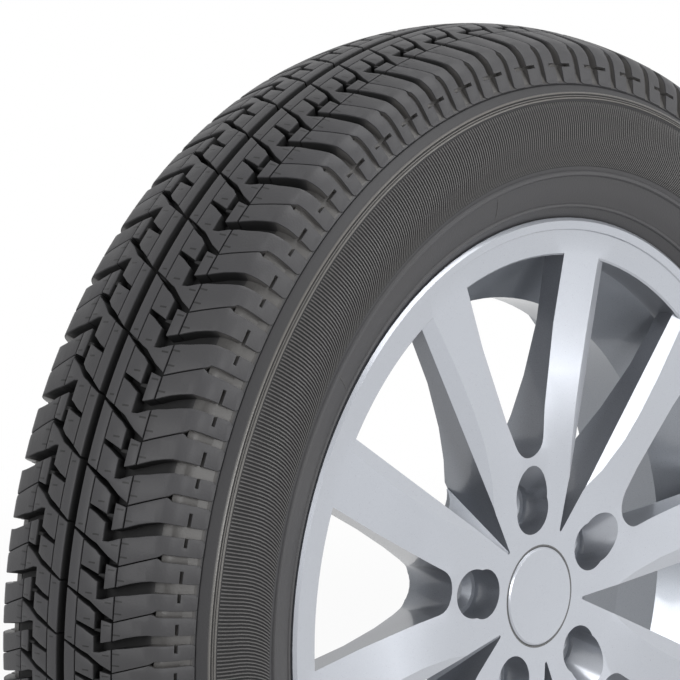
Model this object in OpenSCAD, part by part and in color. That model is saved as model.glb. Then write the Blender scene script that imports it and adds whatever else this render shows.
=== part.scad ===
// Summer tyre on a five-bolt alloy wheel, spin axis along Y, street side towards -Y.
// The origin is the wheel's centre: on the axis, halfway between the two rim flanges.

/* [Tyre] */
// Radius of the tread at its crown
tyre_r = 311; // [309:0.5:316]
// Half of the section width, at the widest line of the sidewall
section_half = 72.5; // [71:0.5:76]
// Half of the width of the tread up to where the shoulder turns down
tread_half = 50.8; // [49:0.2:52]
// How far the shoulder lies below the crown
crown_drop = 9.7; // [8:0.1:11]
// Rubber from the crown down to the air side
crown_wall = 13.5; // [12.5:0.1:15]
// Rubber at the widest line of the sidewall
sidewall_wall = 7; // [6:0.1:8.5]

/* [Tread pattern] */
// Depth of the main grooves
groove_depth = 8; // [6:0.1:8.5]
// Width of the straight groove at the centre
centre_groove_w = 5.2; // [4:0.1:6]
// Pattern repeats around the tread
pitches = 66; // [60:1:72]
// Times around the tread that the pitch grows long and short, which spreads the noise
pitch_waves = 5; // [4:1:6]
// How far a long or short pitch moves its grooves, in degrees
pitch_shift = 2.2; // [1:0.1:2.4]
// Turn of the pattern from straight up, in degrees, seen from the street
tread_turn = 57.4; // [50:0.1:65]
// Where the inner blocks end and the zig-zag groove starts, from the centre
zigzag_z = 21.5; // [20:0.1:23]
// Width of the zig-zag groove
zigzag_w = 4; // [3:0.1:4.5]
// Length of each stretch of the zig-zag groove, around the tread
zigzag_l = 17; // [14:0.5:18]
// Where the centre rib ends and the inner blocks start, from the centre
inner_edge_z = 10; // [9:0.5:11]
// Where the shoulder blocks start, from the centre
shoulder_z = 31.5; // [30:0.1:33]
// Width of the long slanted groove that crosses the centre
slant_w = 2.4; // [1.8:0.1:3]
// Width of the short slanted groove between two inner blocks
notch_w = 3; // [2:0.1:3.4]
// Width of the grooves across the shoulders
cross_groove_w = 5; // [4:0.1:5.5]
// Depth of the grooves across the shoulders
cross_groove_depth = 7; // [5:0.1:7.5]

/* [Rim] */
// Radius of the bead seats
bead_r = 190.2; // [189.5:0.1:191]
// Height of the rim flanges above the bead seats
flange_h = 17.3; // [16.5:0.1:18]
// Distance between the inner faces of the two flanges
rim_w = 114.3; // [112:0.1:116]
// Thickness of the rolled flanges
flange_t = 4.6; // [4:0.1:5]
// Radius of the drop centre, outside
well_r = 166; // [164:0.5:170]
// Half of the flat of the drop centre
well_half = 12; // [10:0.5:14]
// Wall of the barrel
barrel_wall = 5; // [4.5:0.1:6]

/* [Wheel face] */
// Bolts, and so pairs of spokes
bolts = 5;
// Diameter of the circle through the bolt holes
bolt_circle = 98; // [97:0.5:100]
// Diameter of each bolt hole
bolt_d = 14.5; // [13.5:0.1:15]
// Diameter of the deep pocket around each bolt
pocket_d = 27; // [25:0.5:28]
// Diameter of the bore that centres the wheel on its hub
centre_bore = 58.1; // [57:0.1:59]
// Place of the mounting face, from the wheel's centre towards the street
offset_et = 25; // [22:0.5:28]
// Radius of the mounting face
pad_r = 70; // [68:0.5:72]
// Front of the hub around the cap, from the wheel's centre
hub_front = 53; // [52:0.1:54]
// Front of the spokes at their middle
spoke_front = 58; // [57:0.1:59]
// Outer end of the windows
window_r = 187; // [184:0.5:188]
// Thickness of the spokes at the window's outer end
spoke_t_rim = 13; // [11:0.5:15]
// Turn of the first bolt from straight up, seen from the street
face_turn = 8; // [0:1:20]

/* [Centre cap] */
// Diameter of the cap
cap_d = 54.2; // [53:0.1:55]
// How far the cap stands in front of the hub
cap_proud = 0.8; // [0.4:0.1:1.2]
// Gap between the cap and the wheel all round
cap_gap = 0.35; // [0.2:0.05:0.5]

/* [Valve] */
// Diameter of the valve hole in the rim
valve_hole_d = 11.5; // [11.3:0.1:11.8]
// Length of the rubber stem outside the rim
valve_stem_l = 26; // [22:0.5:30]
// Travel of the valve's pin when it is pressed
pin_travel = 1.2; // [0.8:0.1:1.4]

/* [Hidden] */
$fn = 128;

flange_r = bead_r + flange_h;
flange_in = rim_w / 2;
flange_out = flange_in + flange_t;
groove_floor = tyre_r - groove_depth;

// Angle of groove number k: the pitches run from long to short and back
function pitch_at(k) = 90 + tread_turn + k * 360 / pitches + pitch_shift * sin(k * pitch_waves * 360 / pitches);

// Height of the crown at a distance from the middle of the tread, a part of a round line
crown_bow = (tread_half * tread_half + crown_drop * crown_drop) / (2 * crown_drop);
function crown(z) = tyre_r - crown_bow + sqrt(crown_bow * crown_bow - z * z);

shoulder_r = tyre_r - crown_drop;
block_end_r = shoulder_r - 22;
block_end_z = section_half - 11;
bead_toe = bead_r - 0.5;

// Outside of the tyre from the centre groove round the shoulder and sidewall to the toe of the bead
outer_half = concat(
    [[groove_floor, 0], [groove_floor, centre_groove_w / 2 - 0.4], [crown(centre_groove_w / 2), centre_groove_w / 2]],
    [[crown(13), 13]],
    [[crown(25), 25]],
    [[crown(38), 38], [shoulder_r, tread_half]],
    [[shoulder_r - 5, tread_half + 5.2], [shoulder_r - 12, block_end_z - 2.6], [block_end_r, block_end_z]],
    [[block_end_r - 1.2, section_half - 7.6], [275.9, section_half - 6.2], [275.2, section_half - 5.5]],
    [[274.2, section_half - 5.5], [273.6, section_half - 5.9], [270.9, section_half - 4.5]],
    [[262, section_half - 1.6], [250, section_half], [240, section_half - 0.6]],
    [[232.4, section_half - 2.6], [231.8, section_half - 1.9], [230.6, section_half - 1.9], [230, section_half - 3.2]],
    [[222, section_half - 5.4], [214, section_half - 9.2], [flange_r + 0.9, flange_in + 2.4]],
    [[flange_r - 3.2, flange_in - 0.25], [bead_r + 3, flange_in - 0.25], [bead_r + 0.25, flange_in - 3]],
    [[bead_r + 0.25, flange_in - 12], [bead_toe + 0.75, flange_in - 18]]
);

// Inside of the tyre from the toe of the bead up to the crown
inner_half = [
    [bead_toe + 5, flange_in - 18.5], [bead_r + 13, flange_in - 12.5], [bead_r + 25, flange_in - 4],
    [228, section_half - 12], [240, section_half - sidewall_wall], [252, section_half - sidewall_wall - 0.4],
    [266, section_half - sidewall_wall - 3.4], [278, section_half - 18], [288, section_half - 26],
    [tyre_r - crown_wall - 3, 34], [tyre_r - crown_wall, 16], [tyre_r - crown_wall, 0]
];

// The other half of a list of outline points, walked backwards
function other_half(list) = [for (i = [len(list) - 1:-1:0]) if (list[i][1] > 0) [list[i][0], -list[i][1]]];

// Turns a piece drawn with its axis along Z, street side up, to its place on the Y axis
module upright() { rotate([90, 0, 0]) children(); }

// Radius of the tread's surface at a distance from its middle
function top_r(z) = z < tread_half ? crown(z) : lookup(z, [
    [tread_half, shoulder_r], [tread_half + 5.2, shoulder_r - 5], [block_end_z - 2.6, shoulder_r - 12],
    [block_end_z, block_end_r]
]);

pitch_arc = 2 * PI * tyre_r / pitches;

// A straight groove in the tread from one place to another. A place is its distance from the middle of the tread
// and its share of a pitch past groove k. Its floor is tipped by tilt, and lies at a depth below the surface halfway.
module tread_cut(k, from, to, w, depth, tilt) {
    z = (from[0] + to[0]) / 2;
    slant = atan((to[1] - from[1]) * pitch_arc / (to[0] - from[0]));
    length = (to[0] - from[0]) / cos(slant) / cos(tilt);
    rotate(pitch_at(k + (from[1] + to[1]) / 2))
        translate([top_r(abs(z)) - depth, 0, z])
            rotate([-slant, 0, 0]) rotate([0, -tilt, 0])
                translate([0, -w / 2, -length / 2]) cube([depth + 12, w, length]);
}

// Grooves of one pitch on the street side: across the shoulder in two stretches, the zig-zag and the short slant
module half_pitch(k) {
    bend_z = tread_half - 1;
    tread_cut(k, [zigzag_z, 0.11], [bend_z, -0.14], cross_groove_w, cross_groove_depth, 15);
    tread_cut(k, [bend_z - 1, -0.155], [block_end_z + 1, -0.155], cross_groove_w - 0.2, cross_groove_depth + 3, 51);
    tread_cut(k, [zigzag_z, 0.72], [zigzag_z + zigzag_w, 0.72], zigzag_l, cross_groove_depth, 10);
    tread_cut(k, [inner_edge_z, 0.66], [zigzag_z + 1, 0.85], notch_w, cross_groove_depth, 6);
}

// Summer tyre, moulded and vulcanised in one piece. The tread reads the same with its two sides changed over.
module tyre() {
    color([0.2, 0.2, 0.21]) upright() difference() {
        rotate_extrude($fn = 180)
            polygon(concat(outer_half, inner_half, other_half(inner_half), other_half(outer_half)));
        for (k = [0:pitches - 1]) {
            tread_cut(k, [-shoulder_z, -0.56], [shoulder_z, 0.56], slant_w, groove_depth, 0);
            half_pitch(k);
            rotate(2 * pitch_at(0)) rotate([180, 0, 0]) half_pitch(k);
        }
    }
}

// Windows between the spokes: each narrows along two straight sides that meet at apex
twin_apex = 50;
twin_half = 17.4;
twin_r = 79;
fork_apex = 35;
fork_half = 14;
fork_r = 72;
fork_tip_r = 38;
fork_slope = 34;
facet_w = 10;
facet_drop = 3.6;
pocket_scoop = 34;
spoke_front_rim = flange_in + 0.3;
hub_back = offset_et;

// Rim with its bead seats, humps, drop centre and rolled flanges
rim_outline = [
    [flange_r - 1.6, flange_out], [flange_r, flange_out - 1.6], [flange_r, flange_in + 1.8],
    [flange_r - 4, flange_in], [bead_r + 2, flange_in], [bead_r, flange_in - 2],
    [bead_r - 1.2, flange_in - 18], [bead_r, flange_in - 21], [bead_r - 1.4, flange_in - 25],
    [well_r, well_half], [well_r, -well_half],
    [bead_r - 1.4, -flange_in + 25], [bead_r, -flange_in + 21], [bead_r - 1.2, -flange_in + 18],
    [bead_r, -flange_in + 2], [bead_r + 2, -flange_in], [flange_r - 4, -flange_in],
    [flange_r, -flange_in - 1.8], [flange_r, -flange_out + 1.6], [flange_r - 1.6, -flange_out],
    [bead_r + 3, -flange_out], [bead_r - barrel_wall + 0.2, -flange_in + 0.5],
    [bead_r - barrel_wall - 1, -flange_in + 26],
    [well_r - barrel_wall, -well_half - 2], [well_r - barrel_wall, well_half + 2],
    [bead_r - barrel_wall - 1, flange_in - 23], [window_r, flange_in - 19],
    [window_r, spoke_front_rim - 1], [window_r + 1, spoke_front_rim],
    [flange_r - 6.6, flange_out - 1.7], [flange_r - 6, flange_out - 0.8]
];

// Half section of the disc that the spokes are cut from: its front bows out, its back is the pad
disc_outline = [
    [20, hub_front - 1], [cap_d / 2 + 2, hub_front], [pad_r - 6, hub_front + 1.2], [82, hub_front + 3.2],
    [105, spoke_front - 0.4], [125, spoke_front], [150, spoke_front], [window_r + 2, spoke_front_rim],
    [window_r + 2, spoke_front_rim - spoke_t_rim], [150, spoke_front - 15], [120, spoke_front - 20],
    [98, spoke_front - 26], [82, spoke_front - 32], [pad_r, hub_back + 1.5], [pad_r - 1.5, hub_back],
    [20, hub_back]
];

// Outline of a window: two straight sides that meet at apex, with a round inner end at r_in
module window_shape(apex, half, r_in) {
    ball = (r_in - apex) * sin(half) / (1 - sin(half));
    arc = 10;
    polygon(concat(
        [[200, -(200 - apex) * tan(half)], [200, (200 - apex) * tan(half)]],
        [for (i = [0:arc]) let (a = 90 + half + i * (180 - 2 * half) / arc)
            [r_in + ball + ball * cos(a), ball * sin(a)]]
    ));
}

// Outline of the flank on one side of a narrow window, from its centreline to facet_w beside its edge
module flank_shape(side) {
    far = 200;
    polygon([[fork_apex, 0], [far, 0], [far, side * ((far - fork_apex) * tan(fork_half) + facet_w / cos(fork_half))],
        [fork_apex, side * facet_w / cos(fork_half)]]);
}

// One sloping side facet of a spoke, cut along the edge of the narrow window
module facet(side) {
    intersection() {
        linear_extrude(90) flank_shape(side);
        translate([fork_apex, 0, spoke_front + 0.2])
            rotate([0, 0, side * fork_half])
                translate([0, side * facet_w, 0])
                    rotate([side * atan(facet_drop / facet_w), 0, 0])
                        translate([-20, side > 0 ? -80 : -20, 0]) cube([220, 100, 30]);
    }
}

// Sloping floor of a narrow window's inner end, which runs down from its tip beside the cap
module fork_floor() {
    intersection() {
        linear_extrude(90) window_shape(fork_apex, fork_half, fork_tip_r);
        translate([fork_tip_r, 0, hub_front - 0.4]) rotate([0, fork_slope, 0])
            translate([-20, -40, 0]) cube([90, 80, 80]);
    }
}

// Deep pocket around a bolt, scooped on its outer side, with the bolt hole and its cone seat behind it
module bolt_hole() {
    seat_z = hub_front - 17;
    translate([bolt_circle / 2, 0, seat_z]) cylinder(d = pocket_d, h = 30);
    translate([bolt_circle / 2, 0, hub_back - 1]) cylinder(d = bolt_d, h = 30);
    translate([bolt_circle / 2, 0, seat_z - 4]) cylinder(d1 = bolt_d, d2 = bolt_d + 7, h = 4.01);
    translate([bolt_circle / 2, 0, hub_front - 11]) rotate([0, pocket_scoop, 0]) cylinder(d = pocket_d - 0.4, h = 30);
}

cap_seat_r = cap_d / 2 + cap_gap;
cap_lip = 9;
clip_l = 4;
clip_room = 1.5;

// Bore for the hub's spigot, the wider groove behind it in which the cap's fingers clip, and the cap's seat
module hub_bore() {
    groove_z = hub_front - cap_lip - clip_l - clip_room;
    translate([0, 0, hub_back - 1]) cylinder(d = centre_bore, h = groove_z - hub_back + 1.01);
    translate([0, 0, groove_z]) cylinder(r = centre_bore / 2 + 1, h = clip_l + clip_room);
    translate([0, 0, hub_back - 0.01]) cylinder(d1 = centre_bore + 3, d2 = centre_bore, h = 1.5);
    cylinder(r = cap_seat_r, h = 80);
}

valve_slope = atan((bead_r - 1.4 - well_r) / (flange_in - 25 - well_half));
valve_turn = face_turn + 36 + 144;
valve_r = (bead_r - 1.4 + well_r) / 2;
valve_z = (flange_in - 25 + well_half) / 2;

// Places a piece on the valve's axis, which stands square on the slope beside the drop centre
module at_valve() {
    rotate(90 + valve_turn) translate([valve_r, 0, valve_z]) rotate([0, valve_slope - 90, 0]) children();
}

// Light alloy wheel, cast in one piece
module wheel() {
    color([0.72, 0.74, 0.77]) upright() difference() {
        union() {
            rotate_extrude($fn = 180) polygon(rim_outline);
            difference() {
                rotate_extrude($fn = 180) polygon(disc_outline);
                for (i = [0:bolts - 1]) rotate(90 + face_turn + i * 360 / bolts) {
                    linear_extrude(90) window_shape(twin_apex, twin_half, twin_r);
                    rotate(180 / bolts) {
                        linear_extrude(90) window_shape(fork_apex, fork_half, fork_r);
                        fork_floor();
                        facet(1);
                        facet(-1);
                    }
                }
            }
        }
        for (i = [0:bolts - 1]) rotate(90 + face_turn + i * 360 / bolts) bolt_hole();
        hub_bore();
        at_valve() translate([0, 0, -25]) cylinder(d = valve_hole_d, h = 50);
    }
}

// Snap-in centre cap: a flat disc with a skirt of six clip fingers behind it
module centre_cap() {
    front = hub_front + cap_proud;
    back = hub_front - cap_lip - clip_l;
    color([0.74, 0.76, 0.79]) upright() difference() {
        rotate_extrude() polygon([
            [0, front - 0.6], [cap_d / 2 - 6, front - 0.2], [cap_d / 2 - 1, front], [cap_d / 2, front - 0.8],
            [cap_d / 2, front - 3], [cap_d / 2 - 1, back + 3.8], [cap_d / 2 + 0.9, back + 3],
            [cap_d / 2 - 0.6, back], [cap_d / 2 - 2.6, back], [cap_d / 2 - 2.6, front - 3], [0, front - 3]
        ]);
        for (i = [0:5]) rotate(i * 60) translate([10, -3, back - 1]) cube([30, 6, cap_lip + 1]);
    }
}

// Wire ring that presses the cap's fingers outwards
module cap_spring() {
    wire = 1.6;
    color([0.5, 0.5, 0.52]) upright()
        translate([0, 0, hub_front - cap_lip - 1.5]) rotate_extrude()
            translate([cap_d / 2 - 2.75 - wire / 2, 0]) circle(d = wire, $fn = 24);
}

tube_r = 3.2;
tip_l = 8;
core_r = 2.2;
pin_r = 0.6;
valve_wall = barrel_wall - 0.2;
stem_base = 0.2;

// Snap-in rubber stem, with its bulb on the tyre's side and its lip on the street side
module valve_stem() {
    hole_r = valve_hole_d / 2;
    color([0.12, 0.12, 0.12]) upright() at_valve() rotate_extrude($fn = 48) polygon([
        [tube_r, -9], [5.5, -9], [hole_r + 1.9, -4], [hole_r + 1.9, -1.6], [hole_r - 0.15, -0.3],
        [hole_r - 0.15, valve_wall + 0.4], [hole_r + 2.2, valve_wall + 1], [hole_r + 2.2, valve_wall + 3],
        [5.6, valve_wall + 5.5], [4.9, valve_wall + valve_stem_l], [tube_r, valve_wall + valve_stem_l]
    ]);
}

stem_end = valve_wall + valve_stem_l;

// Brass tube moulded into the rubber stem, with the thread for the cap at its end
module valve_tube() {
    color([0.78, 0.65, 0.35]) upright() at_valve() rotate_extrude($fn = 48) polygon([
        [core_r + 0.05, -9.6], [tube_r, -9.6], [tube_r, stem_end], [tube_r + 0.65, stem_end + 0.3],
        [tube_r + 0.65, stem_end + tip_l - 0.5], [tube_r + 0.2, stem_end + tip_l],
        [core_r + 0.05, stem_end + tip_l]
    ]);
}

// Brass body of the valve core, screwed into the tube
module valve_core() {
    color([0.8, 0.68, 0.4]) upright() at_valve() rotate_extrude($fn = 48) polygon([
        [pin_r + 0.08, stem_end - 9], [core_r, stem_end - 9], [core_r, stem_end + tip_l - 2],
        [pin_r + 0.08, stem_end + tip_l - 2]
    ]);
}

// Pin of the valve core, which a gauge or a pump presses in
module valve_pin() {
    color([0.75, 0.62, 0.34]) upright() at_valve() {
        translate([0, 0, stem_end - 12]) cylinder(r = pin_r, h = 12 + tip_l - 0.6, $fn = 24);
        translate([0, 0, stem_end - 12 - 1.5]) cylinder(r = core_r - 0.5, h = 1.5, $fn = 24);
        translate([0, 0, stem_end + tip_l - 0.6 - 0.01]) cylinder(r = pin_r + 0.35, h = 0.4, $fn = 24);
    }
}

// Screw cap of the valve
module valve_cap() {
    in_r = tube_r + 0.8;
    top = stem_end + tip_l + 1.2;
    color([0.1, 0.1, 0.1]) upright() at_valve() rotate_extrude($fn = 48) polygon([
        [0, top + 1.6], [in_r, top + 1.6], [in_r + 1, top + 0.8], [in_r + 1.4, stem_end + 0.6],
        [in_r, stem_end + 0.6], [in_r, top], [0, top]
    ]);
}

tyre();
wheel();
centre_cap();
cap_spring();
valve_stem();
valve_tube();
valve_core();
valve_pin();
valve_cap();
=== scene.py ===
import math

import bmesh
import bpy
import numpy as np
from mathutils import Matrix, Vector


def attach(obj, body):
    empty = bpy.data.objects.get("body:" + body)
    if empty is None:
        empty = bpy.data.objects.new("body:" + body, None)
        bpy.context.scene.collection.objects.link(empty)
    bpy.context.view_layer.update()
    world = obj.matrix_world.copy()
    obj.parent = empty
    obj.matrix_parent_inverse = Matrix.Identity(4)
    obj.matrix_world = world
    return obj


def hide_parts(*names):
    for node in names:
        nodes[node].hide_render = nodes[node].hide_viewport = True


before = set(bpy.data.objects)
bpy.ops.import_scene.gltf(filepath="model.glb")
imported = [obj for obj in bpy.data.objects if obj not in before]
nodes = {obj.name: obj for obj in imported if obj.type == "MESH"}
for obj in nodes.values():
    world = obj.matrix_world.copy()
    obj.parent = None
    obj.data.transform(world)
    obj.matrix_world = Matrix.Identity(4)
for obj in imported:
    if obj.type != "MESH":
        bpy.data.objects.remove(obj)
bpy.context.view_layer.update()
print("frame loaded:", ", ".join(sorted(nodes)))

mm = 0.001


class Wire:
    def __init__(self, tree, socket):
        self.tree, self.socket = tree, socket

    def math(self, operation, first, second):
        return addNode(self.tree, "ShaderNodeMath", {"operation": operation}, {0: first, 1: second})

    def __add__(self, other):
        return self.math("ADD", self, other)

    def __radd__(self, other):
        return self.math("ADD", other, self)

    def __sub__(self, other):
        return self.math("SUBTRACT", self, other)

    def __rsub__(self, other):
        return self.math("SUBTRACT", other, self)

    def __mul__(self, other):
        return self.math("MULTIPLY", self, other)

    def __rmul__(self, other):
        return self.math("MULTIPLY", other, self)

    def __truediv__(self, other):
        return self.math("DIVIDE", self, other)

    def __rtruediv__(self, other):
        return self.math("DIVIDE", other, self)

    def __lt__(self, other):
        return self.math("LESS_THAN", self, other)

    def __gt__(self, other):
        return self.math("GREATER_THAN", self, other)


def addNode(tree, kind, settings=None, sockets=None, out=0):
    # works for shader and geometry trees: settings first, then the values or wires of the sockets
    node = tree.nodes.new(kind)
    for name, value in (settings or {}).items():
        setattr(node, name, value)
    for key, value in (sockets or {}).items():
        if isinstance(value, Wire):
            tree.links.new(value.socket, node.inputs[key])
        else:
            node.inputs[key].default_value = value
    return Wire(tree, node.outputs[out])


def newObject(name, mesh, material=None, sharp=34):
    if material:
        mesh.materials.clear()
        mesh.materials.append(material)
    if sharp:
        mesh.shade_smooth()
        mesh.set_sharp_from_angle(angle=math.radians(sharp))
    obj = bpy.data.objects.new(name, mesh)
    bpy.context.scene.collection.objects.link(obj)
    return obj


def ownPiece(obj, body, slotName, *replaced):
    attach(obj, body)
    if replaced:
        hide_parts(*replaced)


def srgb(red, green, blue):
    parts = []
    for value in (red, green, blue):
        part = value / 255
        parts.append(part / 12.92 if part < 0.04045 else ((part + 0.055) / 1.055) ** 2.4)
    return (*parts, 1)


def newMaterial(name, values):
    material = bpy.data.materials.new(name)
    material.use_nodes = True
    shader = material.node_tree.nodes["Principled BSDF"]
    for key, value in values.items():
        shader.inputs[key].default_value = value
    return material, material.node_tree, shader


def linkTo(tree, shader, key, wire):
    tree.links.new(wire.socket, shader.inputs[key])


def blend(tree, factor, first, second):
    return addNode(tree, "ShaderNodeMix", {"data_type": "RGBA"}, {0: factor, 6: first, 7: second}, out=2)


def noise(tree, scale, detail=2.0, place=None):
    place = place or addNode(tree, "ShaderNodeTexCoord", out="Object")
    return addNode(tree, "ShaderNodeTexNoise", None, {"Vector": place, "Scale": scale, "Detail": detail}, out="Fac")


def attribute(tree, name):
    return addNode(tree, "ShaderNodeAttribute", {"attribute_name": name}, None, out="Fac")


def addBump(tree, shader, height, strength, distance):
    linkTo(tree, shader, "Normal", addNode(tree, "ShaderNodeBump", None, {
        "Strength": strength, "Distance": distance, "Height": height}, out="Normal"))


def within(value, low, high):
    return (value > low) * (value < high)


def ramp(tree, value, low, high, first=0.0, last=1.0):
    return addNode(tree, "ShaderNodeMapRange", {"interpolation_type": "SMOOTHSTEP"},
                   {0: value, 1: low, 2: high, 3: first, 4: last})


rubberLook = {
    # colours: the rubber, its lighter patches, painted shade for the grooves, and a painted highlight for polished
    # parts
    "surface": srgb(49, 49, 52), "lighterPatch": srgb(62, 61, 60), "shadow": srgb(13, 13, 14), "polishAndHighlight": srgb(94, 92, 89),
    "slit": (0.004, 0.004, 0.004, 1), "slitMix": 0.85, "slitHalf": 0.014,
    "roughness": 0.5, "polishRoughness": 0.24, "shadowRoughness": 0.2, "specular": 0.32,
    "patchScale": 22.0, "patchMix": 0.5, "patchRoughness": 0.12,
    "grainScale": 900.0, "grainStrength": 0.25, "grainHeight": 0.0004,
    # in mm: where across the tread the grooves with painted shade give way to the open ones, polished and with a
    # painted highlight, and the depths where each begins
    "innerEnds": (46.0, 56.0), "shadowDepth": (0.25, 1.2), "polishAndHighlightDepth": (0.5, 1.0), "openGroove": 0.45,
    # small slits moulded in the blocks: from and to across the tread in mm, place along the pitch
    "slits": [(32.7, 37, 0.18), (32.7, 37, 0.41), (32.7, 37, 0.81), (27, 31, 0.23), (27, 31, 0.65),
              (15, 19, 0.10), (15, 19, 0.57), (5, 8, 0.97)],
}


def makeRubber():
    look = rubberLook
    material, tree, shader = newMaterial("tyreRubber", {"Specular IOR Level": look["specular"]})
    across = attribute(tree, "acrossTread")
    along = attribute(tree, "alongPitch")
    depth = attribute(tree, "depth")
    inner = ramp(tree, across, *look["innerEnds"], 1.0, 0.0)
    # painted shade deep in the inner grooves; polished floors and crests also get a painted highlight
    shadow = ramp(tree, depth, *look["shadowDepth"]) * inner
    polishAndHighlight = ramp(tree, depth, *look["polishAndHighlightDepth"]) * (1 - inner) * look["openGroove"]
    polishAndHighlight = polishAndHighlight + attribute(tree, "polishAndHighlight")
    slit = 0
    for low, high, place in look["slits"]:
        slit = within(across, low, high) * within(along, place - look["slitHalf"], place + look["slitHalf"]) + slit
    slit = slit * (shadow < 0.1) * (polishAndHighlight < 0.1)  # only on the top of a block
    # lighter in patches at random
    patches = noise(tree, look["patchScale"], 4.0)
    colour = blend(tree, patches * look["patchMix"], look["surface"], look["lighterPatch"])
    colour = blend(tree, polishAndHighlight, colour, look["polishAndHighlight"])
    colour = blend(tree, shadow, colour, look["shadow"])
    linkTo(tree, shader, "Base Color", blend(tree, slit * look["slitMix"], colour, look["slit"]))
    rough = patches * look["patchRoughness"] + (look["roughness"] - look["patchRoughness"] / 2)
    rough = rough + polishAndHighlight * (look["polishRoughness"] - look["roughness"]) + shadow * look["shadowRoughness"]
    linkTo(tree, shader, "Roughness", rough)
    addBump(tree, shader, noise(tree, look["grainScale"]), look["grainStrength"], look["grainHeight"])
    return material


silverLook = {
    # painted shade: the silver is darker on the sides that turn away from the front, darker deep in the wheel, and
    # nearly black round the cap
    "face": srgb(152, 156, 164), "side": srgb(96, 100, 108), "barrel": srgb(122, 127, 135),
    "seat": (0.02, 0.02, 0.022, 1), "seatRadius": 0.0284,  # painted shade: a nearly black ring round the cap, in the gap between cap and wheel
    "metallic": 0.55, "roughness": 0.3, "coat": 0.6, "coatRoughness": 0.06,
    "flakeScale": 2600.0, "flakeMix": 0.12, "flakeRoughness": 0.1,
    "sideShadeFacing": (0.05, 0.6), "barrelFrom": (-0.046, -0.03),
}


def makeSilver(name, shaded=True):
    look = silverLook
    material, tree, shader = newMaterial(name, {"Metallic": look["metallic"], "Coat Weight": look["coat"],
                                                "Coat Roughness": look["coatRoughness"]})
    place = addNode(tree, "ShaderNodeTexCoord", out="Object")
    flake = noise(tree, look["flakeScale"], 1.0, place)
    colour = look["face"]
    if shaded:
        depth = addNode(tree, "ShaderNodeSeparateXYZ", None, {0: place}, out="Y")
        normal = addNode(tree, "ShaderNodeNewGeometry", out="Normal")
        turned = addNode(tree, "ShaderNodeSeparateXYZ", None, {0: normal}, out="Y") * -1
        # painted shade where the surface turns away from the front
        colour = blend(tree, ramp(tree, turned, *look["sideShadeFacing"], 1.0, 0.0), colour, look["side"])
        # painted shade deeper in the wheel
        colour = blend(tree, ramp(tree, depth, *look["barrelFrom"]), colour, look["barrel"])
        # painted shade in the ring round the cap
        flat = addNode(tree, "ShaderNodeVectorMath", {"operation": "MULTIPLY"}, {0: place, 1: (1, 0, 1)})
        reach = addNode(tree, "ShaderNodeVectorMath", {"operation": "LENGTH"}, {0: flat}, out="Value")
        colour = blend(tree, reach < look["seatRadius"], colour, look["seat"])
    linkTo(tree, shader, "Base Color", blend(tree, flake * look["flakeMix"], colour, (1, 1, 1, 1)))
    rough = flake * look["flakeRoughness"] + (look["roughness"] - look["flakeRoughness"] / 2)
    linkTo(tree, shader, "Roughness", rough)
    return material


plainLook = {"darken": 0.25, "spread": 0.15, "under": 0.07, "bump": 0.2, "bumpHeight": 0.0001}


def makePlain(name, colour, roughness, metallic=0.0, grain=700.0):
    look = plainLook
    material, tree, shader = newMaterial(name, {"Metallic": metallic})
    value = noise(tree, grain)
    linkTo(tree, shader, "Base Color", blend(tree, value * look["darken"], colour, (0, 0, 0, 1)))
    linkTo(tree, shader, "Roughness", value * look["spread"] + (roughness - look["under"]))
    addBump(tree, shader, value, look["bump"], look["bumpHeight"])
    return material


rubber = makeRubber()
silver = makeSilver("silverLacquer")
capSilver = makeSilver("capLacquer", shaded=False)
valveRubber = makePlain("valveRubber", srgb(46, 46, 48), 0.5)
brass = makePlain("turnedBrass", (0.72, 0.52, 0.24, 1), 0.3, 1.0, 1500.0)
springSteel = makePlain("springSteel", (0.55, 0.55, 0.56, 1), 0.32, 1.0, 1500.0)
capPlastic = makePlain("capPlastic", srgb(40, 40, 42), 0.42)
print("materials made:", len(bpy.data.materials))

# the tyre's outer surface, as (distance from the middle, radius) in mm
tyreLine = {
    "crown": 311.0, "bow": 137.9, "treadHalf": 50.8,
    "shoulder": [(50.8, 301.3), (56, 296.3), (58.9, 289.3), (61.5, 279.3)],
    "band": [(64.9, 278.1), (66.3, 275.9), (67, 274.5), (68, 270.9)],
    "side": [(68, 270.9), (70.9, 262), (72.5, 250), (71.9, 240), (70, 231), (67.1, 222), (63.3, 214), (59.5, 208.4)],
    "grooveDepth": 8.0, "flatTo": 52.0, "blockEnd": 77.0, "endStep": 0.5,
    "crownStep": 1.0, "smoothSteps": {"shoulder": 6, "band": 3, "side": 6}, "outerArc": 60.0,
}


def smoothLine(points, steps):
    # a round line through all the points
    ends = [tuple(2 * a - b for a, b in zip(points[0], points[1]))]
    ends += list(points) + [tuple(2 * a - b for a, b in zip(points[-1], points[-2]))]
    line = []
    for i in range(1, len(ends) - 2):
        p0, p1, p2, p3 = (np.array(p, float) for p in ends[i - 1:i + 3])
        for t in np.arange(steps) / steps:
            line.append(0.5 * (2 * p1 + (p2 - p0) * t + (2 * p0 - 5 * p1 + 4 * p2 - p3) * t ** 2
                               + (3 * p1 - p0 - 3 * p2 + p3) * t ** 3))
    line.append(np.array(points[-1], float))
    return line


def tyreSurface():
    line = tyreLine
    crownZ = np.arange(0, line["treadHalf"] - line["crownStep"] / 2, line["crownStep"])
    points = [np.array((z, line["crown"] - line["bow"] + math.sqrt(line["bow"] ** 2 - z * z))) for z in crownZ]
    parts = [smoothLine(line[name], steps) for name, steps in line["smoothSteps"].items()]
    points = np.array(points + parts[0][:-1] + parts[1][:-1] + parts[2])
    steps = np.hypot(*np.diff(points, axis=0).T)
    return points, np.concatenate([[0], np.cumsum(steps)])


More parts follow.
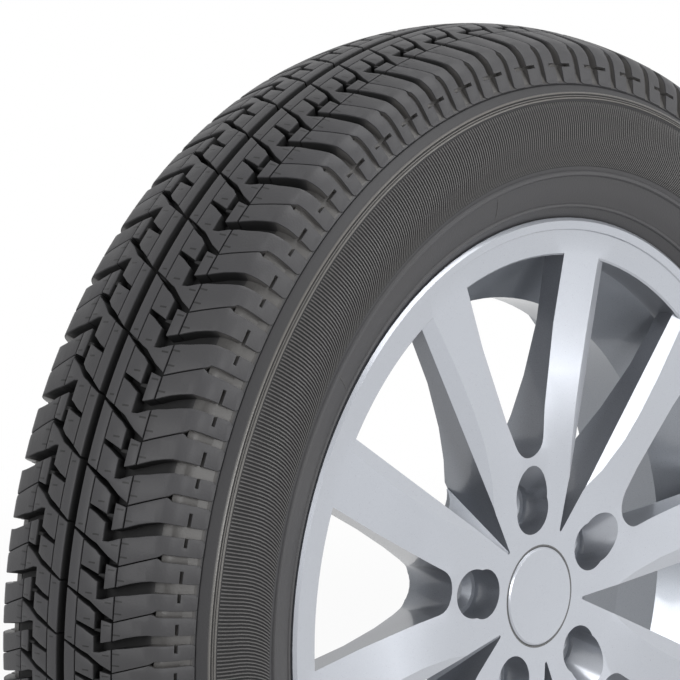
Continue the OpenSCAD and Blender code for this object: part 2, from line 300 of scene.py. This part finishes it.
surfacePoints, surfaceArc = tyreSurface()
surfaceSlope = np.gradient(surfacePoints, surfaceArc, axis=0)


def arcAtRadius(radius):
    outer = surfaceArc > tyreLine["outerArc"]
    return float(np.interp(-radius, -surfacePoints[outer, 1], surfaceArc[outer]))


def onSurface(s, depth):
    # place at s mm along the surface from the middle, and depth mm below it
    z, r = (np.interp(abs(s), surfaceArc, surfacePoints[:, i]) for i in (0, 1))
    dz, dr = (np.interp(abs(s), surfaceArc, surfaceSlope[:, i]) for i in (0, 1))
    size = math.hypot(dz, dr)
    return math.copysign(z + dr * depth / size, s), r - dz * depth / size


def floorDepth(s):
    # the grooves run out towards the end of the blocks
    line = tyreLine
    return float(np.interp(abs(s), [line["flatTo"], line["blockEnd"]], [line["grooveDepth"], line["endStep"]]))


def ringTree():
    # repeats one pitch, drawn as (share of a pitch, z, r), around the wheel's axis
    tree = bpy.data.node_groups.new("ringArray", "GeometryNodeTree")
    face = tree.interface
    face.new_socket("Geometry", in_out="INPUT", socket_type="NodeSocketGeometry")
    for name, kind, value in (("Count", "NodeSocketInt", 66), ("First Angle", "NodeSocketFloat", 0.0),
                              ("Wave Size", "NodeSocketFloat", 0.0), ("Waves", "NodeSocketInt", 5),
                              ("Turn", "NodeSocketFloat", 0.0), ("Material", "NodeSocketMaterial", None)):
        socket = face.new_socket(name, in_out="INPUT", socket_type=kind)
        if value is not None:
            socket.default_value = value
    face.new_socket("Geometry", in_out="OUTPUT", socket_type="NodeSocketGeometry")
    given = tree.nodes.new("NodeGroupInput")
    wires = {socket.name: Wire(tree, socket) for socket in given.outputs if socket.name}
    line = addNode(tree, "GeometryNodeMeshLine", {"mode": "OFFSET"}, {"Count": wires["Count"], "Offset": (1, 0, 0)})
    turn = addNode(tree, "ShaderNodeCombineXYZ", None, {"Z": wires["Turn"]})
    copies = addNode(tree, "GeometryNodeInstanceOnPoints", None,
                     {"Points": line, "Instance": wires["Geometry"], "Rotation": turn})
    real = addNode(tree, "GeometryNodeRealizeInstances", None, {"Geometry": copies})
    place = addNode(tree, "GeometryNodeInputPosition")
    share, depth, radius = (addNode(tree, "ShaderNodeSeparateXYZ", None, {0: place}, out=i) for i in range(3))
    around = share / wires["Count"]
    turns = around * wires["Waves"] * (2 * math.pi)
    wave = turns.math("SINE", turns, 0)
    angle = around * (2 * math.pi) + wires["First Angle"] + wave * wires["Wave Size"]
    placed = addNode(tree, "ShaderNodeCombineXYZ", None, {
        "X": radius * angle.math("SINE", angle, 0) * -1, "Y": depth * -1, "Z": radius * angle.math("COSINE", angle, 0)})
    moved = addNode(tree, "GeometryNodeSetPosition", None, {"Geometry": real, "Position": placed})
    painted = addNode(tree, "GeometryNodeSetMaterial", None, {"Geometry": moved, "Material": wires["Material"]})
    tree.links.new(painted.socket, tree.nodes.new("NodeGroupOutput").inputs[0])
    return tree


ringArray = ringTree()


def arrayAround(name, mesh, inputs, sharp=34):
    # the ring as a plain mesh, with the modifier gone
    source = bpy.data.objects.new(name + "Source", mesh)
    bpy.context.scene.collection.objects.link(source)
    modifier = source.modifiers.new("ring", "NODES")
    modifier.node_group = ringArray
    for socket in ringArray.interface.items_tree:
        if socket.in_out == "INPUT" and socket.name in inputs:
            modifier[socket.identifier] = inputs[socket.name]
    graph = bpy.context.evaluated_depsgraph_get()
    made = bpy.data.meshes.new_from_object(source.evaluated_get(graph))
    made.name = name
    source.modifiers.remove(modifier)
    bpy.data.objects.remove(source)
    return newObject(name, made, inputs["Material"], sharp)


# one pitch of the tread: each point is (mm across from the middle, share of the pitch)
treadLook = {
    "pitches": 66, "waves": 5, "wave": 2.206, "first": 57.4, "arc": 29.6, "edge": 0.45, "lowEdge": 0.2,
    "blockDepth": 12.0, "sunk": 0.3, "leastWall": 0.6, "alongParts": 4,
    "acrossCuts": (24, 38, 44, 48, 51, 53, 55.3, 57.5, 59.5, 61.5, 64, 66.5, 69.5, 72.5, 75.6),
    # outline, and how far its top lies below the tread's surface
    "blocks": [
        ([(10.3, -.30), (15, -.235), (18.1, -.175), (21.5, -.115), (21.6, .19), (25, .185), (28, .15), (30.2, .12),
          (32, .105), (32, .53), (26.1, .43), (21.6, .325), (18.1, .24), (14.3, .19), (10.3, .125)], 0),
        ([(10.3, .215), (14.3, .29), (18.1, .35), (21.6, .44), (21.6, .75), (18.1, .71), (15, .675),
          (10.3, .625)], 0),
        ([(25.7, .56), (31.9, .60), (31.9, .935), (30.2, .955), (26.1, .995), (25.7, .99)], 0),
        ([(21.2, .735), (26, .735), (26, .80), (21.2, .78)], 1.2),
        ([(2.9, .06), (9.6, .195), (9.6, 1.115), (2.9, 1.02)], 0),
        ([(32.7, .10), (35.3, .075), (40.6, .045), (46, 0), (51.1, -.035), (54, -.05), (65.6, -.06), (65.6, .10),
          (67.3, .10), (67.3, -.065), (75, -.075), (76.2, -.058), (77, -.02), (77, .21), (76.4, .24), (75, .255),
          (55.5, .262), (54, .30), (52.5, .327), (32.7, .565)], 0),
        ([(32.7, .585), (52.6, .343), (54, .355), (55.5, .39), (75, .385), (76.3, .4), (77, .43), (77, .70),
          (76.3, .735), (75, .745), (67.3, .745), (67.3, .52), (65.6, .52), (65.6, .745), (51.1, .75), (46, .785),
          (40.6, .835), (35.3, .90), (32.7, .935)], 0),
        ([(55, .25), (75.6, .245), (75.6, .395), (55, .40)], 2.5),
    ],
}


def treadPitch():
    look = treadLook
    whole = bmesh.new()
    below = whole.verts.layers.float.new("depth")
    across = whole.verts.layers.float.new("acrossTread")
    along = whole.verts.layers.float.new("alongPitch")
    for outline, lower in look["blocks"]:
        part = bmesh.new()
        face = part.faces.new([part.verts.new((u * look["arc"], s, 0)) for s, u in outline])
        down = bmesh.ops.extrude_face_region(part, geom=[face], use_keep_orig=True)
        for item in down["geom"]:
            if isinstance(item, bmesh.types.BMVert):
                item.co.z = -look["blockDepth"]
        bmesh.ops.recalc_face_normals(part, faces=part.faces)
        top = [edge for edge in part.edges if all(abs(vert.co.z) < 1e-6 for vert in edge.verts)]
        bmesh.ops.bevel(part, geom=top, offset=look["lowEdge"] if lower else look["edge"], segments=2,
                        profile=0.5, affect="EDGES", clamp_overlap=True)
        # cuts let the flat block bend over the shoulder and round the wheel
        cuts = [((0, s, 0), (0, 1, 0)) for s in look["acrossCuts"]]
        parts = look["alongParts"]
        cuts += [((k * look["arc"] / parts, 0, 0), (1, 0, 0)) for k in range(-1, parts + 1)]
        for spot, normal in cuts:
            bmesh.ops.bisect_plane(part, geom=part.verts[:] + part.edges[:] + part.faces[:], dist=1e-4,
                                   plane_co=spot, plane_no=normal)
        bmesh.ops.triangulate(part, faces=[face for face in part.faces if len(face.verts) > 4])
        made = {}
        for vert in part.verts:
            u, s = vert.co.x / look["arc"], vert.co.y
            depth = lower - vert.co.z
            if vert.co.z < -look["blockDepth"] / 2:
                depth = max(floorDepth(s) + look["sunk"], lower + look["leastWall"])
            z, r = onSurface(s, depth)
            made[vert] = whole.verts.new((u, z * mm, r * mm))
            made[vert][below], made[vert][across], made[vert][along] = depth, s, u
        for face in part.faces:
            whole.faces.new([made[vert] for vert in face.verts])
        part.free()
    mesh = bpy.data.meshes.new("treadPitch")
    whole.to_mesh(mesh)
    whole.free()
    return mesh


pitchMesh = treadPitch()
treadInputs = {"Count": treadLook["pitches"], "Waves": treadLook["waves"], "Wave Size": math.radians(treadLook["wave"]),
               "First Angle": math.radians(treadLook["first"]), "Material": rubber}
for name, turn in (("tread_blocks_street", 0.0), ("tread_blocks_car", math.pi)):
    treadBlocks = arrayAround(name, pitchMesh, {**treadInputs, "Turn": turn})
    ownPiece(treadBlocks, "wheel", "tyre_rubber", "tyre")
print("tread blocks:", len(treadBlocks.data.polygons), "faces a side")

# the fine ribs of the sidewall, in mm: they run from one radius to another, and bend near their inner end
ribLook = {
    "count": 920, "baseWidth": 1.3, "topWidth": 0.5, "height": 0.46, "endHeight": 0.06, "floor": 0.38, "sunk": 0.1,
    # painted shade on the floor between the ribs and at each rib's base; polished crests with a painted highlight
    "from": 270.9, "to": 236.2, "margin": 0.4, "floorSteps": 12, "floorShade": 1.6,
    "stops": (0, 3, 8, 13, 18, 23, 28, 32, 35.2), "baseShade": 2.0, "polishAndHighlight": 0.35,
    "bendFrom": 12.0, "bend": 6.0, "bendOver": 22.6,
}

# the carcass is one closed shell: groove floors, sidewall rings, beads and the inside, as (mm across, radius)
carcassLook = {
    "segments": 264, "ringPolishAndHighlight": 0.9,
    "floorStops": (0, 2.2, 2.8, 6, 10, 15, 20, 25, 30, 35, 40, 44, 48, 51, 53, 55.3, 57.5, 59.5, 61.5, 64, 66.5,
                   69.5, 72.5, 75, 77),
    # the band beyond the blocks' ends and the rings beside it get painted shade through their depth value
    "step": [(61.3, 279.0), (61.9, 278.95)], "bandShade": 0.6, "smoothSteps": 5, "insideSteps": 3,
    # fine raised rings outside the ribs; the third value marks their crests, polished and with a painted highlight; the
    # rest take painted shade
    "rings": [(65.9, 276.2, 0), (66.3, 275.7, 0), (67.3, 275.3, 1), (67.6, 274.8, 1), (67.1, 274.2, 0),
              (67.0, 273.9, 0), (67.8, 273.6, 1), (67.9, 273.3, 1), (67.4, 272.9, 0), (68.4, 272.5, 1),
              (68.6, 272.0, 1), (67.9, 271.6, 0), (67.6, 270.9, 0)],
    # ring between the ribs and the smooth part, then the line beside the rim
    "innerRing": [(70.5, 235.2), (70.1, 233.6), (70.7, 233.2), (71.1, 232.6), (71.1, 231.2), (70.6, 230.7),
                  (69.8, 230.3)],
    "smooth": [(69.8, 230.3), (67.1, 222), (64.3, 216)],
    "rimLine": [(64.0, 215.4), (64.4, 214.9), (64.5, 213.9), (64.0, 213.4), (63.1, 213.2)],
    "bead": [(59.5, 208.4), (56.9, 204.3), (56.9, 193.2), (54.1, 190.5), (45.1, 190.5), (39.2, 190.5)],
    "inside": [(38.7, 194.7), (44.7, 203.2), (53.2, 215.2), (60.5, 228), (65.5, 240), (65.1, 252), (62.1, 266),
               (54.5, 278), (46.5, 288), (34, 294.5), (16, 297.5), (0, 297.5)],
}


def carcassLine():
    look = carcassLook
    points = []  # z, r, depth, place across the tread, polish with painted highlight; a rib's floor counts as an inner groove and takes its painted shade
    for s in look["floorStops"]:
        points.append((*onSurface(s, floorDepth(s)), floorDepth(s), s, 0.0))
    points += [(*point, look["bandShade"], 0.0, 0.0) for point in look["step"]]
    for z, r, crest in look["rings"]:
        points.append((z, r, (1 - crest) * look["bandShade"], 0.0, crest * look["ringPolishAndHighlight"]))
    floor = np.linspace(arcAtRadius(ribLook["from"]) + 1, arcAtRadius(ribLook["to"]), ribLook["floorSteps"])
    points += [(*onSurface(s, ribLook["floor"]), ribLook["floorShade"], 0.0, 0.0) for s in floor]
    rest = look["innerRing"] + smoothLine(look["smooth"], look["smoothSteps"])[1:] + look["rimLine"] + look["bead"]
    points += [(*point, 0.0, 0.0, 0.0) for point in rest + smoothLine(look["inside"], look["insideSteps"])]
    other = [(-z, *values) for z, *values in points[-2:0:-1]]
    return points + other


def closedMesh(name, verts, faces):
    mesh = bpy.data.meshes.new(name)
    mesh.from_pydata(verts, [], faces)
    turned = bmesh.new()
    turned.from_mesh(mesh)
    bmesh.ops.recalc_face_normals(turned, faces=turned.faces)
    turned.to_mesh(mesh)
    turned.free()
    return mesh


def ridgeFaces(stations):
    # a ridge has four corners at each station
    last = 4 * (stations - 1)
    faces = [(3, 2, 1, 0), (last, last + 1, last + 2, last + 3)]
    for k in range(0, last, 4):
        faces += [(k + i, k + (i + 1) % 4, k + (i + 1) % 4 + 4, k + i + 4) for i in range(4)]
    return faces


def revolve(name, line, segments, attributes=()):
    count = len(line)
    verts, faces = [], []
    for k in range(segments):
        angle = 2 * math.pi * k / segments
        verts += [(-p[1] * mm * math.sin(angle), -p[0] * mm, p[1] * mm * math.cos(angle)) for p in line]
    for k in range(segments):
        a, b = k * count, (k + 1) % segments * count
        faces += [(a + i, a + (i + 1) % count, b + (i + 1) % count, b + i) for i in range(count)]
    mesh = closedMesh(name, verts, faces)
    for column, title in attributes:
        layer = mesh.attributes.new(title, "FLOAT", "POINT")
        layer.data.foreach_set("value", [p[column] for p in line] * segments)
    return mesh


carcass = newObject("tyre_carcass", revolve("tyre_carcass", carcassLine(), carcassLook["segments"],
                                            ((2, "depth"), (3, "acrossTread"), (4, "polishAndHighlight"))), rubber, 28)
ownPiece(carcass, "wheel", "tyre_rubber", "tyre")
print("carcass:", len(carcass.data.polygons), "faces")


def ribMesh(name, start, stops, look):
    share = 360 / look["count"]
    verts = []
    for stop in stops:
        end = stop in (stops[0], stops[-1])
        offset = look["bend"] * (max(0.0, stop - look["bendFrom"]) / look["bendOver"]) ** 2
        height = look["endHeight"] if end else look["height"]
        for side, lift in ((-look["baseWidth"] / 2, -look["sunk"]), (-look["topWidth"] / 2, height),
                           (look["topWidth"] / 2, height), (look["baseWidth"] / 2, -look["sunk"])):
            z, r = onSurface(start + stop, look["floor"] - lift)
            verts.append((math.degrees((offset + side) / r) / share, z * mm, r * mm))
    mesh = closedMesh(name, verts, ridgeFaces(len(stops)))
    # the depth value gives each base painted shade, the other value gives the crest a painted highlight
    for title, low, high in (("depth", look["baseShade"], 0.0), ("polishAndHighlight", 0.0, look["polishAndHighlight"])):
        mesh.attributes.new(title, "FLOAT", "POINT").data.foreach_set("value", [low, high, high, low] * len(stops))
    return mesh


ribStart = arcAtRadius(ribLook["from"]) + ribLook["margin"]
for name, turn in (("sidewall_ribs_street", 0.0), ("sidewall_ribs_car", math.pi)):
    ribs = arrayAround(name, ribMesh(name, ribStart, ribLook["stops"], ribLook),
                       {"Count": ribLook["count"], "Turn": turn, "Material": rubber}, 25)
    ownPiece(ribs, "wheel", "tyre_rubber", "tyre")
print("ribs:", len(ribs.data.polygons), "faces a side")

# lines across the smooth ring beside the rim, where the parts of the mould met
mouldLook = {
    "angles": (52.0, 14.0), "from": 229.6, "to": 216.6, "parts": 4,
    # each line's base gets painted shade, its crest a painted highlight
    "rib": {**ribLook, "count": 1, "baseWidth": 0.9, "topWidth": 0.35, "height": 0.3, "floor": 0.0, "baseShade": 0.4,
            "polishAndHighlight": 0.2, "bend": 0.0},
}
mouldStart = arcAtRadius(mouldLook["from"])
mouldLength = arcAtRadius(mouldLook["to"]) - mouldStart
mouldStops = [mouldLength * k / mouldLook["parts"] for k in range(mouldLook["parts"] + 1)]
for number, angle in enumerate(mouldLook["angles"], 1):
    line = ribMesh("mould_line", mouldStart, mouldStops, mouldLook["rib"])
    mouldLine = arrayAround("mould_line_" + str(number), line,
                            {"Count": 1, "First Angle": math.radians(angle), "Material": rubber})
    ownPiece(mouldLine, "wheel", "tyre_rubber", "tyre")
print("mould lines:", len(mouldLook["angles"]))

edgeLook = {  # for each piece: radius of its rounded edges in mm, and steps
    "wheel": (0.9, 3), "centre_cap": (0.25, 2), "edgeAngle": 16.0, "smoothAngle": 32.0, "merge": 0.00001,
    "flatAngle": 0.4, "weight": 90,
}

# the broad face of each spoke leans towards the wide window beside it: drop at that window's edge, in mm
leanLook = {
    "pairs": 5, "turn": 8.0, "drop": 3.2, "front": -50.0, "forkApex": 35.0, "forkHalf": 14.0, "crease": 10.0,
    "twinApex": 50.0, "twinHalf": 17.4, "radii": (84, 108, 150, 186), "shares": (0, 1, 1, 0),
}


def lineDistance(along, across, apex, half, beside=0.0):
    # how far a point lies outside a window's straight edge
    half = math.radians(half)
    return across * math.cos(half) - (along - apex) * math.sin(half) - beside


def leanSpokes(mesh):
    # angles are measured from the middle of the nearest wide (twin) and narrow (fork) window
    look = leanLook
    for vert in mesh.vertices:
        x, y, z = vert.co / mm
        radius = math.hypot(x, z)
        share = float(np.interp(radius, look["radii"], look["shares"]))
        if y > look["front"] or not share:
            continue
        angle = math.degrees(math.atan2(-x, z)) - look["turn"]
        fromTwin = abs((angle + 180 / look["pairs"]) % (360 / look["pairs"]) - 180 / look["pairs"])
        fromFork = math.radians(180 / look["pairs"] - fromTwin)
        fromTwin = math.radians(fromTwin)
        crease = lineDistance(radius * math.cos(fromFork), radius * math.sin(fromFork), look["forkApex"],
                              look["forkHalf"], look["crease"])
        edge = lineDistance(radius * math.cos(fromTwin), radius * math.sin(fromTwin), look["twinApex"],
                            look["twinHalf"])
        if crease > 0:
            vert.co.y += look["drop"] * mm * share * crease / (crease + max(edge, 0.0))


def roundedCopy(nodeName, newName, material, change=None):
    # the node's own mesh stays as it is: its copy is merged, then gets round edges
    look = edgeLook
    mesh = nodes[nodeName].data.copy()
    mesh.name = newName
    work = bmesh.new()
    work.from_mesh(mesh)
    bmesh.ops.remove_doubles(work, verts=work.verts, dist=look["merge"])
    bmesh.ops.dissolve_limit(work, angle_limit=math.radians(look["flatAngle"]), verts=work.verts, edges=work.edges)
    work.to_mesh(mesh)
    work.free()
    if change:
        change(mesh)
    obj = newObject(newName, mesh, material, look["smoothAngle"])
    bevel = obj.modifiers.new("edges", "BEVEL")
    bevel.width, bevel.segments, bevel.limit_method = look[nodeName][0] * mm, look[nodeName][1], "ANGLE"
    bevel.angle_limit, bevel.use_clamp_overlap = math.radians(look["edgeAngle"]), True
    bevel.miter_outer = "MITER_ARC"
    weighted = obj.modifiers.new("flatFaces", "WEIGHTED_NORMAL")
    weighted.weight, weighted.keep_sharp = look["weight"], False
    graph = bpy.context.evaluated_depsgraph_get()
    done = bpy.data.meshes.new_from_object(obj.evaluated_get(graph))
    obj.modifiers.clear()
    obj.data = done
    done.name = newName
    return obj


alloyWheel = roundedCopy("wheel", "alloy_wheel", silver, leanSpokes)
ownPiece(alloyWheel, "wheel", "silver_lacquer", "wheel")
capPiece = roundedCopy("centre_cap", "hub_cap", capSilver)
ownPiece(capPiece, "wheel", "cap_lacquer", "centre_cap")
print("wheel:", len(alloyWheel.data.polygons), "faces; cap:", len(capPiece.data.polygons))

for name, material in (("cap_spring", springSteel), ("valve_stem", valveRubber), ("valve_tube", brass),
                       ("valve_core", brass), ("valve_pin", brass), ("valve_cap", capPlastic)):
    nodes[name].data.materials.clear()
    nodes[name].data.materials.append(material)

gripLook = {  # ridges on the valve's cap: from and to are distances along the valve's axis, in mm
    "count": 20, "from": 32.2, "to": 40.4, "round": 0.5, "baseRadius": 5.37, "tipRadius": 5.02, "height": 0.35,
    "endHeight": 0.02, "sunk": 0.15, "width": 0.9, "crest": 0.4, "place": (0.024689, -0.022075, -0.175674),
    "axis": (-0.092163, -0.749310, 0.655775),
}


def gripMesh():
    look = gripLook
    verts = []
    stops = (look["from"], look["from"] + look["round"], look["to"] - look["round"], look["to"])
    for stop in stops:
        radius = float(np.interp(stop, (look["from"], look["to"]), (look["baseRadius"], look["tipRadius"])))
        share = look["count"] / (2 * math.pi * radius)
        lift = look["height"] if stop in stops[1:3] else look["endHeight"]
        for side, rise in ((-look["width"], -look["sunk"]), (-look["crest"], lift), (look["crest"], lift),
                           (look["width"], -look["sunk"])):
            verts.append((side / 2 * share, stop * mm, (radius + rise) * mm))
    return closedMesh("valve_cap_grip", verts, ridgeFaces(len(stops)))


grip = arrayAround("valve_cap_grip", gripMesh(), {"Count": gripLook["count"], "Waves": 0, "Material": capPlastic})
turned = Vector((0, -1, 0)).rotation_difference(Vector(gripLook["axis"])).to_matrix().to_4x4()
grip.data.transform(Matrix.Translation(gripLook["place"]) @ turned)
ownPiece(grip, "valve_cap", "cap_plastic")
print("valve cap's ridges:", len(grip.data.polygons), "faces")

stageLook = {
    "floor": 90.0, "floorHeight": -0.3112, "floorColour": (0.9, 0.9, 0.9, 1), "floorRoughness": 0.7,
    "fade": (1.2, 2.4), "nearWhite": 0.85, "world": 0.38,
    # name, place, size and power
    "lamps": [
        ("softboxTop", (0.2, -0.9, 2.3), 1.8, 38),
        ("softboxLow", (-1.0, -2.4, 0.55), 0.9, 24),
        ("softboxFront", (1.7, -2.4, 1.0), 1.5, 20),
        ("softboxLeft", (-2.6, 0.2, 0.9), 1.2, 24),
        ("stripRight", (1.0, -1.9, 0.1), 0.5, 9),
    ],
    "cameraPlace": (-1.4743, -1.2258, 0.3772), "lens": 185.37,
    "cameraAxes": ((0.66582, -0.74609, -0.00634), (0.09687, 0.07802, 0.99223), (-0.7398, -0.66126, 0.12422)),
}


def seenRays(tree):
    # 1 where the background is seen, straight or in a reflection, and 0 where it lights
    path = tree.nodes.new("ShaderNodeLightPath")
    camera, glossy, clear = (Wire(tree, path.outputs["Is " + name + " Ray"])
                             for name in ("Camera", "Glossy", "Transmission"))
    return camera + glossy + clear


def makeFloor():
    look = stageLook
    half = look["floor"]
    mesh = bpy.data.meshes.new("floor")
    mesh.from_pydata([(-half, -half, look["floorHeight"]), (half, -half, look["floorHeight"]),
                      (half, half, look["floorHeight"]), (-half, half, look["floorHeight"])], [], [(0, 1, 2, 3)])
    values = {"Base Color": look["floorColour"], "Roughness": look["floorRoughness"]}
    material, tree, shader = newMaterial("paleFloor", values)
    white = addNode(tree, "ShaderNodeEmission", None, {"Color": (1, 1, 1, 1), "Strength": 1.0})
    lit = Wire(tree, shader.outputs[0])
    reach = addNode(tree, "ShaderNodeVectorMath", {"operation": "LENGTH"},
                    {0: addNode(tree, "ShaderNodeTexCoord", out="Object")}, out="Value")
    far = ramp(tree, reach, *look["fade"], look["nearWhite"], 1.0)  # the shadow stays near the object
    mixed = addNode(tree, "ShaderNodeMixShader", None, {0: seenRays(tree) * far, 1: lit, 2: white})
    tree.links.new(mixed.socket, tree.nodes["Material Output"].inputs[0])
    floor = newObject("floor", mesh, material, None)


def makeLight():
    look = stageLook
    scene = bpy.context.scene
    world = bpy.data.worlds.new("studio")
    world.use_nodes = True
    tree = world.node_tree
    tree.nodes.clear()
    dim, white = (addNode(tree, "ShaderNodeBackground", None, {"Color": (1, 1, 1, 1), "Strength": strength})
                  for strength in (look["world"], 1.0))
    sky = addNode(tree, "ShaderNodeMixShader", None, {0: seenRays(tree), 1: dim, 2: white})
    tree.links.new(sky.socket, tree.nodes.new("ShaderNodeOutputWorld").inputs[0])
    scene.world = world
    for name, place, size, power in look["lamps"]:
        lamp = bpy.data.lights.new(name, "AREA")
        lamp.shape, lamp.size, lamp.energy = "SQUARE", size, power
        holder = bpy.data.objects.new(name, lamp)
        scene.collection.objects.link(holder)
        holder.location = place
        holder.rotation_euler = (-Vector(place)).to_track_quat("-Z", "Y").to_euler()
    camera = bpy.data.cameras.new("camera")
    camera.lens, camera.clip_end = look["lens"], 500
    holder = bpy.data.objects.new("camera", camera)
    scene.collection.objects.link(holder)
    axes = Matrix(look["cameraAxes"]).transposed().to_4x4()
    holder.matrix_world = Matrix.Translation(look["cameraPlace"]) @ axes
    scene.camera = holder
    scene.view_settings.view_transform = "Standard"


makeFloor()
makeLight()
print("floor, light and camera set")
